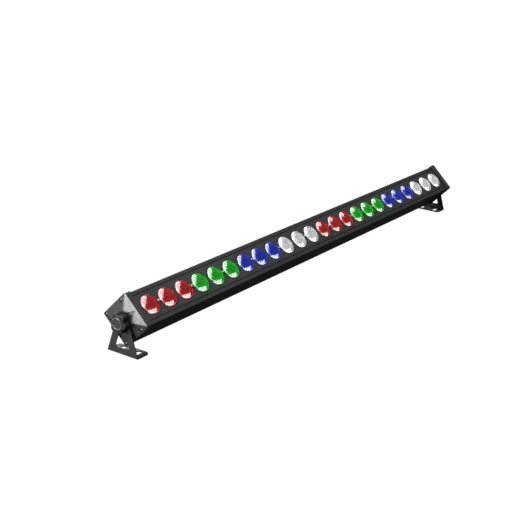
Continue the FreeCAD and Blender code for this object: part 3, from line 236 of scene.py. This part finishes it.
def circuit_board(name):
    """Green laminate with its weave and traces faintly showing."""
    s = Shader(name)
    weave = s.add("ShaderNodeTexBrick", {
        "Vector": s.place((1.0, 1.0, 1.0)), "Scale": 190.0, "Mortar Size": 0.012,
        "Color1": (0.012, 0.09, 0.035, 1), "Color2": (0.016, 0.12, 0.045, 1), "Mortar": (0.03, 0.2, 0.09, 1)})
    base = s.mix(s.spread(s.noise(90.0), 0.0, 0.5), weave.outputs["Color"], (0.01, 0.07, 0.03, 1.0))
    rough = s.spread(s.noise(300.0), 0.28, 0.42)
    normal = s.bump(weave.outputs["Fac"], 0.00004, 0.4)
    return s.finish(s.principled(Base_Color=base, Roughness=rough, Coat_Weight=0.4, Coat_Roughness=0.2,
                                 Normal=normal))


def smoked_window(name):
    """Dark glossy plastic with faint smears."""
    s = Shader(name)
    smear = s.noise(70.0, 5.0)
    base = s.mix(s.spread(smear, 0.0, 1.0), (0.006, 0.008, 0.012, 1.0), (0.012, 0.016, 0.024, 1.0))
    return s.finish(s.principled(Base_Color=base, Roughness=s.spread(smear, 0.04, 0.12), Coat_Weight=0.6))


# ------------------------------------------------------------------ materials of the CAD nodes

HOUSING_BLACK = (0.034, 0.034, 0.036)
PANEL_BLACK = (0.043, 0.043, 0.044)
STAND_BLACK = (0.022, 0.022, 0.023)
FINISHES = {
    "housing": coated_metal("HousingCoat", HOUSING_BLACK, 0.5, drawn=True, specular=0.3, wear=0.06),
    "panel": coated_metal("PanelCoat", PANEL_BLACK, 0.48, specular=0.24, wear=0.06, gap_shade_from=PANEL_GAP_SHADE_FROM),
    "end_cap": coated_metal("CapCoat", HOUSING_BLACK, 0.33, specular=0.7, shade=4.0),
    "stand": coated_metal("StandCoat", STAND_BLACK, 0.42, specular=0.32),
    "control_plate": coated_metal("ControlCoat", (0.040, 0.040, 0.042), 0.45),
    "holder": moulded("HolderPlastic", (0.6, 0.6, 0.58), 0.35),
    "emitter": moulded("EmitterDome", (0.85, 0.62, 0.12), 0.2, coat=0.8),
    "circuit_board": circuit_board("BoardLaminate"),
    "spreader": bare_metal("SpreaderAluminium", (0.75, 0.76, 0.78), 0.35, (6.0, 900.0, 900.0)),
    "gasket": moulded("GasketRubber", (0.012, 0.012, 0.012), 0.75, grain=900.0),
    "bright_screw": bare_metal("BrightScrew", (0.3, 0.3, 0.305), 0.3),
    "black_screw": bare_metal("BlackScrew", (0.2, 0.2, 0.205), 0.33),
    "bolt": bare_metal("BoltSteel", (0.55, 0.55, 0.57), 0.3),
    "friction_disc": moulded("DiscFibre", (0.03, 0.028, 0.025), 0.8, grain=700.0, depth=0.0001),
    "knob": moulded("KnobPlastic", (0.012, 0.012, 0.013), 0.38, specular=0.32),
    "insert": bare_metal("InsertBrass", (0.78, 0.55, 0.2), 0.28),
    "knob_ring": bare_metal("RingChrome", (0.7, 0.7, 0.72), 0.25, (90.0, 90.0, 90.0)),
    "knob_disc": moulded("KnobDisc", (0.02, 0.02, 0.021), 0.42, grain=900.0, specular=0.36),
    "window": smoked_window("DisplayWindowPlastic"),
    "button": moulded("ButtonRubber", (0.16, 0.16, 0.165), 0.55),
    "socket": moulded("SocketPlastic", (0.014, 0.014, 0.015), 0.42),
    "contact": bare_metal("ContactBrass", (0.83, 0.66, 0.32), 0.22),
    "latch": bare_metal("LatchMetal", (0.7, 0.7, 0.71), 0.25),
    "component": moulded("ComponentResin", (0.03, 0.03, 0.035), 0.4),
    "pillar": bare_metal("PillarBrass", (0.74, 0.6, 0.3), 0.3),
    "loom": moulded("LoomSleeve", (0.012, 0.012, 0.012), 0.55, grain=1100.0, depth=0.00015),
}
slot_of = {entry["node"]: entry["material_slot"] for entry in record["subparts"]}
for name, piece in nodes.items():
    if slot_of[name] in FINISHES:
        piece.data.materials.clear()
        piece.data.materials.append(FINISHES[slot_of[name]])


# ------------------------------------------------------------------ shapes of the lenses

SEGMENTS = 120
DOME_STEPS = 32
# (radius, height) of the coloured body, from its rim to its middle
CORE_PROFILE = [
    (0.0164, 0.0262), (0.0161, 0.0270), (0.0155, 0.0276), (0.0150, 0.0272), (0.0145, 0.0273),
    (0.0140, 0.0286), (0.0133, 0.0292), (0.0128, 0.0288), (0.0122, 0.0290), (0.0113, 0.0303),
    (0.0100, 0.0307), (0.0083, 0.0298), (0.0063, 0.0288), (0.0050, 0.0283), (0.0040, 0.0287),
    (0.0026, 0.0299), (0.0013, 0.0306), (0.0, 0.0308)]


def dome_profile():
    """A low clear dome with a small step at its foot, closed underneath."""
    sphere = (LENS_RADIUS ** 2 + LENS_RISE ** 2) / (2 * LENS_RISE)
    middle = PANEL_FRONT + LENS_RISE - sphere
    foot = PANEL_FRONT - DOME_FOOT
    points = [(0.0, foot), (LENS_RADIUS - 0.0002, foot), (LENS_RADIUS, PANEL_FRONT)]
    for step in range(1, DOME_STEPS + 1):
        radius = LENS_RADIUS * math.cos(math.pi / 2 * step / DOME_STEPS) if step < DOME_STEPS else 0.0
        points.append((radius, middle + math.sqrt(sphere ** 2 - radius ** 2)))
    return points


def core_ribs(angle, radius):
    """Scallops round the core's outer ring and radial facets on its cup, as a moulded optic has."""
    if 0.0121 < radius < 0.0134:
        return -0.0004 * abs(math.sin(15 * angle))
    if 0.0062 < radius < 0.0101:
        return -0.0004 * abs(math.sin(9 * angle))
    return 0.0


def turned(bm, centre_x, profile, ribs):
    """Add a surface turned about a lens's axis to bm. profile is a list of (radius, height), and
    ribs(angle, radius) gives a height to add."""
    rings = []
    for radius, height in profile:
        if radius == 0:
            rings.append([bm.verts.new((centre_x, 0.0, height))])
            continue
        ring = []
        for i in range(SEGMENTS):
            angle = 2 * math.pi * i / SEGMENTS
            x, y = centre_x + radius * math.cos(angle), radius * math.sin(angle)
            ring.append(bm.verts.new((x, y, height + ribs(angle, radius))))
        rings.append(ring)
    for outer, inner in zip(rings, rings[1:]):
        for i in range(SEGMENTS):
            j = (i + 1) % SEGMENTS
            if len(inner) == 1:
                bm.faces.new((outer[i], outer[j], inner[0]))
            elif len(outer) == 1:
                bm.faces.new((outer[0], inner[j], inner[i]))
            else:
                bm.faces.new((outer[i], outer[j], inner[j], inner[i]))


def lens_piece(name, group, profile, look, ribs=lambda angle, radius: 0.0):
    """One piece with the same turned shape in each of a group's lenses, riding on the bar."""
    mesh = bpy.data.meshes.new(name)
    bm = bmesh.new()
    for number in range(LENSES_IN_GROUP):
        centre = (LENSES_IN_GROUP * group + number - (LENS_COUNT - 1) / 2) * LENS_PITCH
        turned(bm, centre, profile, ribs)
    bmesh.ops.recalc_face_normals(bm, faces=bm.faces)
    bm.to_mesh(mesh)
    bm.free()
    mesh.transform(ON_BAR)
    for face in mesh.polygons:
        face.use_smooth = True
    mesh.materials.append(look)
    piece = bpy.data.objects.new(name, mesh)
    bpy.context.scene.collection.objects.link(piece)
    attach(piece, "bar")
    return piece


# ------------------------------------------------------------------ materials of the lenses

# a deep and a pale tint for each colour
TINTS = {
    "red": ((0.42, 0.008, 0.012), (0.95, 0.30, 0.32)),
    "green": ((0.005, 0.40, 0.010), (0.35, 0.95, 0.38)),
    "blue": ((0.012, 0.055, 0.43), (0.35, 0.45, 0.98)),
    "white": ((0.62, 0.62, 0.62), (0.97, 0.97, 0.98)),
}
# distance from the axis in lens radii, which tint, and how light it is there
CORE_BANDS = [
    (0.0, "deep", 1.9), (0.06, "deep", 1.9), (0.10, "deep", 0.3), (0.19, "deep", 0.25), (0.27, "deep", 0.6),
    (0.46, "deep", 0.9), (0.60, "deep", 1.2), (0.69, "deep", 0.8), (0.74, "deep", 0.15), (0.77, "deep", 0.3),
    (0.80, "pale", 1.0), (0.84, "pale", 0.8), (0.87, "deep", 0.1), (0.90, "deep", 0.15), (0.925, "pale", 1.1),
    (0.96, "pale", 1.1), (0.985, "deep", 0.15)]


def core_tone(colour, tint, factor):
    """A tone of a core. White plastic scatters light, so its grooves look shallower."""
    return tone(tint, 0.62 + 0.38 * factor if colour == "white" else factor)


def lens_distance(s):
    """Distance from the nearest lens's axis, in lens radii, and the angle round that axis."""
    x, y = s.across_face()
    from_end = s.maths("ADD", x, LENS_PITCH * LENS_COUNT / 2)
    x = s.maths("SUBTRACT", s.maths("MODULO", from_end, LENS_PITCH), LENS_PITCH / 2)
    angle = s.maths("ARCTAN2", y, x)
    distance = s.maths("SQRT", s.maths("ADD", s.maths("MULTIPLY", x, x), s.maths("MULTIPLY", y, y)))
    return s.maths("DIVIDE", distance, LENS_RADIUS), angle


def core_material(colour):
    """Moulded rings and a toothed edge, as they show through the dome."""
    tints = dict(zip(("deep", "pale"), TINTS[colour]))
    s = Shader(f"{colour.title()}Core")
    distance, angle = lens_distance(s)
    ramp = s.add("ShaderNodeValToRGB", {"Fac": distance})
    while len(ramp.color_ramp.elements) < len(CORE_BANDS):
        ramp.color_ramp.elements.new(0.5)
    for element, (position, tint, factor) in zip(ramp.color_ramp.elements, CORE_BANDS):
        element.position = position
        element.color = core_tone(colour, tints[tint], factor)
    spokes = s.maths("SINE", s.maths("MULTIPLY", angle, 28.0))
    toothed = s.band(distance, (0.72, 0.75), (0.83, 0.86))
    teeth = s.maths("MULTIPLY", s.spread(spokes, 0.0, 1.0, -0.2, 0.2), toothed)
    base = s.mix(s.maths("MULTIPLY", teeth, 0.7), ramp.outputs[0], core_tone(colour, tints["deep"], 0.3))
    mottle = s.spread(s.noise(330.0, 3.0), 0.0, 0.6)
    base = s.mix(mottle, base, core_tone(colour, tints["deep"], 0.4))
    rough = s.spread(s.noise(500.0), 0.12, 0.3)
    return s.finish(s.principled(Base_Color=base, Roughness=rough, Coat_Weight=0.6, Coat_Roughness=0.08))


def dome_material(colour):
    """Clear tinted plastic, milkier towards the rim, with a pale line near it, moulding ripples and
    fine dust."""
    deep, pale = TINTS[colour]
    s = Shader(f"{colour.title()}Dome")
    distance, angle = lens_distance(s)
    ripple = s.noise(130.0, 2.0)
    dust = s.spread(s.noise(1400.0, 4.0, 0.7), 0.0, 1.0, 0.55, 0.75)
    streaks = s.maths("SINE", s.maths("MULTIPLY", angle, 40.0))
    rings = s.maths("SINE", s.maths("MULTIPLY", distance, 55.0))
    height = s.maths("ADD", ripple, s.maths("MULTIPLY", s.maths("ADD", streaks, rings), 0.05))
    normal = s.bump(height, 0.0003, 0.3)
    smudge = s.spread(s.noise(300.0, 3.0), 0.5, 1.0, 0.42, 0.6)
    outline = s.band(distance, (0.89, 0.91), (0.93, 0.95))
    body = s.mix(s.spread(distance, 0.0, 1.0, 0.6, 1.0), tone(deep, 0.1), tone(deep, 0.4))
    body = s.mix(outline, body, tone(pale, 0.5))
    shine = s.principled(Base_Color=body, Roughness=s.spread(ripple, 0.12, 0.2), Specular_IOR_Level=1.0,
                         Coat_Weight=smudge, Coat_IOR=1.8, Coat_Roughness=0.12, Normal=normal)
    tint = s.mix(s.spread(distance, 0.0, 1.0, 0.5, 1.0), tone(pale, 1.0), tone(pale, 0.85))
    clear = s.add("ShaderNodeBsdfTransparent", {"Color": tint}).outputs[0]
    share = s.maths("ADD", s.maths("MULTIPLY", dust, 0.06), s.spread(outline, 0.45, 0.6, 0.0, 1.0))
    mixed = s.add("ShaderNodeMixShader")
    for socket, source in zip(mixed.inputs, (share, clear, shine)):
        s.feed(socket, source)
    return s.finish(mixed.outputs[0])


# ------------------------------------------------------------------ the lenses, in eight groups

LOOKS = {colour: (core_material(colour), dome_material(colour)) for colour in COLOURS}
lens_pieces = []
for half, side in enumerate(("left", "right")):
    for place, colour in enumerate(COLOURS):
        group = half * len(COLOURS) + place
        core_look, dome_look = LOOKS[colour]
        core = lens_piece(f"lens_core_{colour}_{side}", group, CORE_PROFILE, core_look, core_ribs)
        dome = lens_piece(f"lens_dome_{colour}_{side}", group, dome_profile(), dome_look)
        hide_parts(f"{colour}_lenses_{side}")
        lens_pieces += [core, dome]


# ------------------------------------------------------------------ floor and surroundings

STAGE_BRIGHTNESS = 1.05
STAGE_REACH = 12.0


def stage_material():
    """Plain white, lit evenly for the camera."""
    s = Shader("StageWhite")
    links = {"Color": (1, 1, 1, 1), "Strength": STAGE_BRIGHTNESS}
    return s.finish(s.add("ShaderNodeEmission", links).outputs[0])


def make_floor():
    """A flat pale floor that casts no light back onto the object."""
    mesh = bpy.data.meshes.new("floor")
    corners = [(-STAGE_REACH, -STAGE_REACH, 0), (STAGE_REACH, -STAGE_REACH, 0),
               (STAGE_REACH, STAGE_REACH, 0), (-STAGE_REACH, STAGE_REACH, 0)]
    mesh.from_pydata(corners, [], [(0, 1, 2, 3)])
    mesh.materials.append(stage_material())
    floor = bpy.data.objects.new("floor", mesh)
    for ray in ("diffuse", "glossy", "transmission", "shadow"):
        setattr(floor, "visible_" + ray, False)
    bpy.context.scene.collection.objects.link(floor)


def make_world():
    """White behind the object, and a dim light on it that grows from below to above."""
    world = bpy.data.worlds.new("Studio")
    bpy.context.scene.world = world
    world.use_nodes = True
    tree = world.node_tree
    background = tree.nodes["Background"]
    path = tree.nodes.new("ShaderNodeLightPath")
    sky = tree.nodes.new("ShaderNodeTexCoord")
    height = tree.nodes.new("ShaderNodeSeparateXYZ")
    dimmer = tree.nodes.new("ShaderNodeMapRange")
    for socket, number in (("From Min", -0.6), ("From Max", 0.6), ("To Min", 0.04), ("To Max", 0.2)):
        dimmer.inputs[socket].default_value = number
    mixer = tree.nodes.new("ShaderNodeMapRange")
    mixer.inputs["To Max"].default_value = STAGE_BRIGHTNESS
    tree.links.new(sky.outputs["Generated"], height.inputs[0])
    tree.links.new(height.outputs["Z"], dimmer.inputs["Value"])
    tree.links.new(dimmer.outputs[0], mixer.inputs["To Min"])
    tree.links.new(path.outputs["Is Camera Ray"], mixer.inputs["Value"])
    tree.links.new(mixer.outputs[0], background.inputs["Strength"])
    background.inputs["Color"].default_value = (1, 1, 1, 1)


make_floor()
make_world()


# ------------------------------------------------------------------ lights

def direction(azimuth, elevation):
    """Unit vector with azimuth counted from +X towards +Y, both in degrees."""
    az, el = math.radians(azimuth), math.radians(elevation)
    return Vector((math.cos(el) * math.cos(az), math.cos(el) * math.sin(az), math.sin(el)))


def softbox(name, centre, facing, along, size, radiance, only=()):
    """A soft rectangular light at centre, its back towards facing and its long side along along. If
    only is given, it lights just those pieces."""
    light = bpy.data.lights.new(name, "AREA")
    light.shape = "RECTANGLE"
    light.size, light.size_y = size
    light.energy = radiance * math.pi * size[0] * size[1]
    lamp = bpy.data.objects.new(name, light)
    out = facing.normalized()
    side = (along - along.dot(out) * out).normalized()
    turn = Matrix((side, out.cross(side), out)).transposed().to_4x4()
    lamp.matrix_world = Matrix.Translation(centre) @ turn
    lamp.visible_camera = False
    bpy.context.scene.collection.objects.link(lamp)
    if only:
        lit = bpy.data.collections.new(name + "Receivers")
        for piece in only:
            lit.objects.link(piece)
        lamp.light_linking.receiver_collection = lit


# a wide canopy over the whole object but its lenses, and a small light beside the near cap
CANOPY_OUT = direction(122, 71.6)
CANOPY_LINE = direction(32.2, 0)
CANOPY_SIDE = CANOPY_OUT.cross(CANOPY_LINE)
CANOPY_RADIANCE = 3.4
body_pieces = [thing for thing in bpy.data.objects if thing.type == "MESH" and thing not in lens_pieces]
softbox("Canopy", PIVOT + 1.3 * CANOPY_OUT + 1.6 * CANOPY_LINE + 0.32 * CANOPY_SIDE, CANOPY_OUT, CANOPY_LINE,
        (6.4, 2.5), CANOPY_RADIANCE, body_pieces)
NEAR_CAP = PIVOT - Vector((0.5, 0, 0))
SIDE_OUT = direction(161, 7)
SIDE_RADIANCE = 15.0
softbox("SideSoftbox", NEAR_CAP + 0.8 * SIDE_OUT, SIDE_OUT, direction(71, 0), (0.6, 0.36), SIDE_RADIANCE)

# the domes mirror a broad source high behind the bar, a narrow one to the left and a low one in front
BACK_OUT = direction(128, 54)
BACK_LINE = direction(38, 0)
BACK_FALL = BACK_OUT.cross(BACK_LINE)
BACK_RADIANCE = 8.0
LEFT_OUT = direction(-160, 45)
LEFT_LINE = Vector((-0.18, -0.62, -0.39))
LEFT_RADIANCE = 6.0
FRONT_OUT = direction(-84, -3)
FRONT_RADIANCE = 10.0
far_lenses = [piece for piece in lens_pieces if piece.name.endswith("right")]
softbox("LensBack", PIVOT + 2.0 * BACK_OUT - 0.24 * BACK_FALL, BACK_OUT, BACK_LINE, (5.4, 2.5),
        BACK_RADIANCE, lens_pieces)
softbox("LensBackFar", PIVOT + 2.0 * BACK_OUT + 1.6 * BACK_LINE - 2.2 * BACK_FALL, BACK_OUT, BACK_LINE,
        (3.4, 1.5), BACK_RADIANCE, far_lenses)
softbox("LensLeft", PIVOT + 4.0 * LEFT_OUT, LEFT_OUT, LEFT_LINE, (3.0, 0.75), LEFT_RADIANCE, lens_pieces)
softbox("LensFront", PIVOT + 2.0 * FRONT_OUT, FRONT_OUT, direction(6, -6), (3.4, 1.0), FRONT_RADIANCE,
        lens_pieces)


# ------------------------------------------------------------------ camera

CAMERA_PLACE = Vector((-1.6668, -1.0236, 0.6999))
# the way it looks, in degrees: azimuth counted from +X towards +Y, elevation, and roll
CAMERA_AZIMUTH = 34.07
CAMERA_ELEVATION = -19.44
CAMERA_ROLL = 2.35

camera_data = bpy.data.cameras.new("Camera")
camera_data.sensor_width = 36.0
camera_data.lens = 78.36
camera_data.shift_y = -0.0005
camera = bpy.data.objects.new("Camera", camera_data)
heading = Matrix.Rotation(math.radians(CAMERA_AZIMUTH - 90), 4, "Z")
pitch = Matrix.Rotation(math.radians(CAMERA_ELEVATION + 90), 4, "X")
roll = Matrix.Rotation(math.radians(CAMERA_ROLL), 4, "Z")
camera.matrix_world = Matrix.Translation(CAMERA_PLACE) @ heading @ pitch @ roll
bpy.context.scene.collection.objects.link(camera)
bpy.context.scene.camera = camera

bpy.context.scene.view_settings.view_transform = "Standard"
